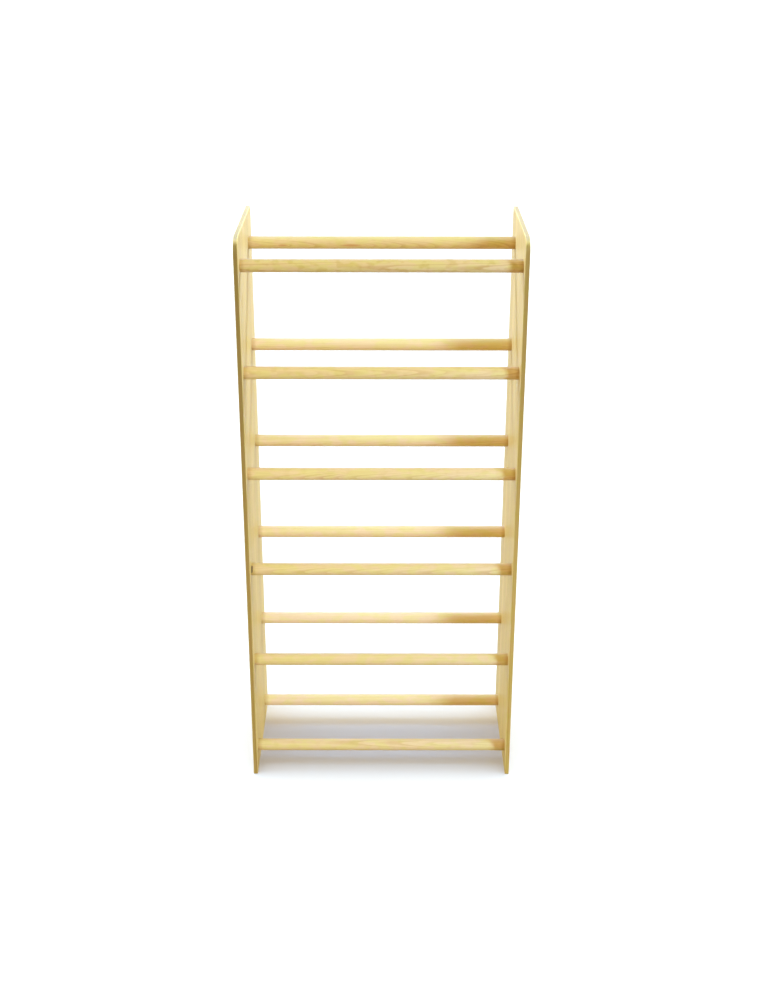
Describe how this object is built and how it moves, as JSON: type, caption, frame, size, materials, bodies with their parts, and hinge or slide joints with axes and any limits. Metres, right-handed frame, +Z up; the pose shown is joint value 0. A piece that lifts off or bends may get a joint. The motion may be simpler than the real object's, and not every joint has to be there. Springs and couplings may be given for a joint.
{
  "type": "tyre storage rack",
  "caption": "Tall open rack in pine: upright side boards joined by round rails, front and rear, that carry tyres lying flat on each tier.",
  "frame": {"origin": "on the floor, at the middle of the rack's footprint", "axes": "+Z up, +X across the width, +Y from the front, where tyres go in, to the back"},
  "size_m": [0.764, 0.407, 1.622],
  "materials": {
    "pine_board": "sanded pine under clear satin lacquer",
    "pine_rail": "turned pine under clear satin lacquer",
    "zinc_screw": "bright zinc plate"
  },
  "bodies": {
    "root": {"side_board_left": "pine_board", "side_board_right": "pine_board", "rail_front_1": "pine_rail", "rail_front_2": "pine_rail", "rail_front_3": "pine_rail", "rail_front_4": "pine_rail", "rail_front_5": "pine_rail", "rail_front_6": "pine_rail", "rail_rear_1": "pine_rail", "rail_rear_2": "pine_rail", "rail_rear_3": "pine_rail", "rail_rear_4": "pine_rail", "rail_rear_5": "pine_rail", "rail_rear_6": "pine_rail", "screws_tier_1": "zinc_screw", "screws_tier_2": "zinc_screw", "screws_tier_3": "zinc_screw", "screws_tier_4": "zinc_screw", "screws_tier_5": "zinc_screw", "screws_tier_6": "zinc_screw"}
  },
  "joints": []
}
